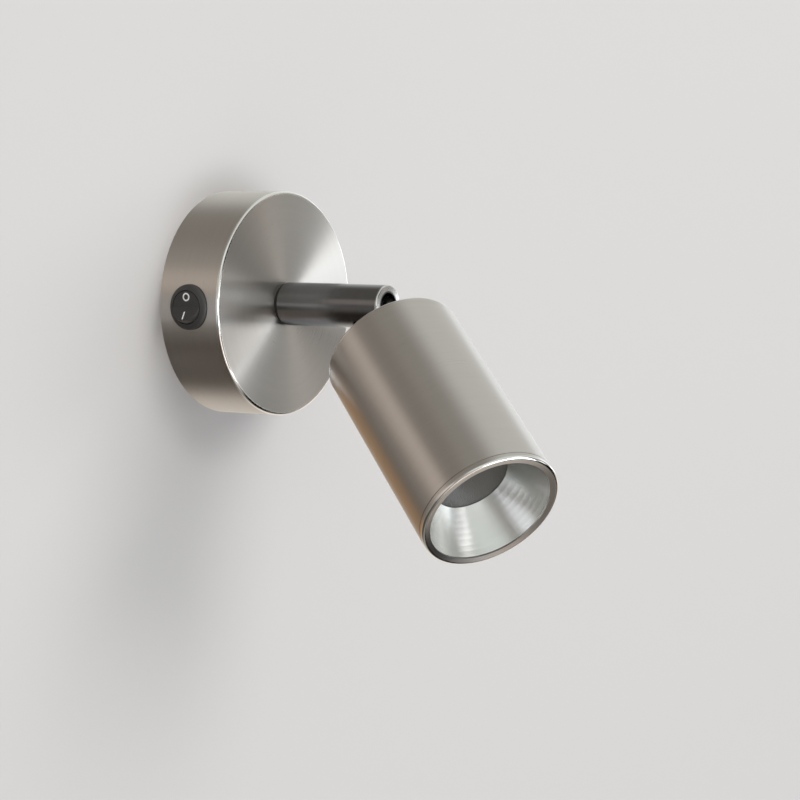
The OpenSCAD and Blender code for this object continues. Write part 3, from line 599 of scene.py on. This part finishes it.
def makeWall(settings):
    # A flat ring round the canopy's back: the radius grows by equal ratios, the angle by equal steps.
    # It is open behind the canopy, which hides the hole, and can't be seen from the back
    share = np.linspace(0, 1, settings["rings"])[:, None]
    angle = np.linspace(0, 2 * math.pi, settings["sides"], endpoint=False)[None, :]
    radius = settings["opening"] * (settings["reach"] / settings["opening"]) ** share
    places = np.broadcast_arrays(radius * np.cos(angle), 0.0, radius * np.sin(angle))
    points = np.stack(places, -1).reshape(-1, 3)
    wall = addMesh("wall", points, gridFaces(settings["rings"], settings["sides"], flip=True))
    material, tree, shader, place = startMaterial("wallPaint")
    mottle = add(tree, "TexNoise", {"Vector": place, "Scale": settings["mottle"],
                                    "Detail": settings["mottleDetail"]}).outputs["Fac"]
    darker = tuple(settings["darker"] * part for part in settings["colour"])
    tree.links.new(blendColours(tree, mottle, darker, settings["colour"]), shader.inputs["Base Color"])
    setShader(shader, Roughness=settings["rough"], Specular_IOR_Level=settings["specular"])
    clear = add(tree, "BsdfTransparent")
    behind = add(tree, "NewGeometry").outputs["Backfacing"]
    seen = add(tree, "MixShader", {"Fac": behind, 1: shader.outputs[0], 2: clear.outputs[0]})
    tree.links.new(seen.outputs[0], tree.nodes["Material Output"].inputs["Surface"])
    wall.data.materials.append(material)
    wall.visible_glossy = False
    wall.visible_shadow = False


def makeSoftbox(name, target, settings):
    # A round lamp that shines on a target from a distance
    data = bpy.data.lights.new(name, "AREA")
    data.shape = "DISK"
    data.size = settings["size"]
    data.energy = settings["watts"]
    lamp = bpy.data.objects.new(name, data)
    scene.collection.objects.link(lamp)
    towards = Vector(settings["towards"]).normalized()
    lamp.location = target + towards * settings["distance"]
    lamp.rotation_mode = "QUATERNION"
    lamp.rotation_quaternion = towards.to_track_quat("Z", "Y")
    return lamp


def makePanelMask():
    # How far a direction lies inside a soft rectangle of angles round the way to its middle
    tree, given, out = newGroup(
        "panelMask",
        {"Direction": ("Vector", (0, 0, 0)), "Middle": ("Vector", (0, -1, 0)),
         "Across": ("Vector", (1, 0, 0)), "Up": ("Vector", (0, 0, 1)),
         "Half Width": ("Float", 0.5), "Half Height": ("Float", 0.5), "Edge": ("Float", 0.1)},
        {"Inside": "Float"})
    ahead = vectors(tree, "DOT_PRODUCT", given["Direction"], given["Middle"])
    aside = vectors(tree, "DOT_PRODUCT", given["Direction"], given["Across"])
    above = vectors(tree, "DOT_PRODUCT", given["Direction"], given["Up"])
    turned = maths(tree, "ABSOLUTE", maths(tree, "ARCTAN2", aside, ahead))
    lifted = maths(tree, "ABSOLUTE", maths(tree, "ARCSINE", above))
    shares = []
    for angle, half in ((turned, given["Half Width"]), (lifted, given["Half Height"])):
        within = maths(tree, "DIVIDE", maths(tree, "SUBTRACT", half, angle), given["Edge"])
        inside = maths(tree, "ADD", within, 0.5)
        eased = add(tree, "MapRange", {"Value": inside}, interpolation_type="SMOOTHSTEP")
        shares.append(eased.outputs["Result"])
    tree.links.new(maths(tree, "MULTIPLY", *shares), out["Inside"])
    return tree


def lookTowards(azimuth, elevation, turn):
    # Unit vectors to the middle of a panel, across it and up it
    around, lift, roll = math.radians(azimuth), math.radians(elevation), math.radians(turn)
    ahead = Vector((math.sin(around), -math.cos(around), 0))
    level = Vector((math.cos(around), math.sin(around), 0))
    zenith = Vector((0, 0, 1))
    middle = ahead * math.cos(lift) + zenith * math.sin(lift)
    upright = zenith * math.cos(lift) - ahead * math.sin(lift)
    across = level * math.cos(roll) + upright * math.sin(roll)
    return middle, across, upright * math.cos(roll) - level * math.sin(roll)


def makeSky(settings, panels):
    # Metal and light see the panels; the camera sees plain pale grey past the wall's edge
    world = bpy.data.worlds.new("surroundings")
    world.use_nodes = True
    tree = world.node_tree
    tree.nodes.clear()
    direction = add(tree, "TexCoord").outputs["Generated"]
    mask = makePanelMask()
    colour = settings["base"]
    for azimuth, elevation, turn, width, height, edge, shade in panels.values():
        middle, across, up = lookTowards(azimuth, elevation, turn)
        inside = useGroup(tree, mask, {
            "Direction": direction, "Middle": middle, "Across": across, "Up": up, "Edge": math.radians(edge),
            "Half Width": math.radians(width / 2), "Half Height": math.radians(height / 2)})["Inside"]
        colour = blendColours(tree, inside, colour, shade)
    around = add(tree, "Background", {"Color": colour})
    shown = add(tree, "Background", {"Color": (*settings["shown"], 1)})
    camera = add(tree, "LightPath").outputs["Is Camera Ray"]
    seen = add(tree, "MixShader", {"Fac": camera, 1: around.outputs[0], 2: shown.outputs[0]})
    tree.links.new(seen.outputs[0], add(tree, "OutputWorld").inputs["Surface"])
    scene.world = world


makeWall(wallSettings)
key = makeSoftbox("key", Vector((0, 0, 0)), keySettings)
key.visible_glossy = False  # it lights the wall and casts the soft shadow, and the metal mirrors the panels
mouthGlow = makeSoftbox("mouthGlow", pivot + headAxis * mouthReach, mouthSettings)
mouthGlow.visible_diffuse = False
mouthGlow.visible_camera = False
makeSky(skySettings, softPanels)
print("wall and light set")
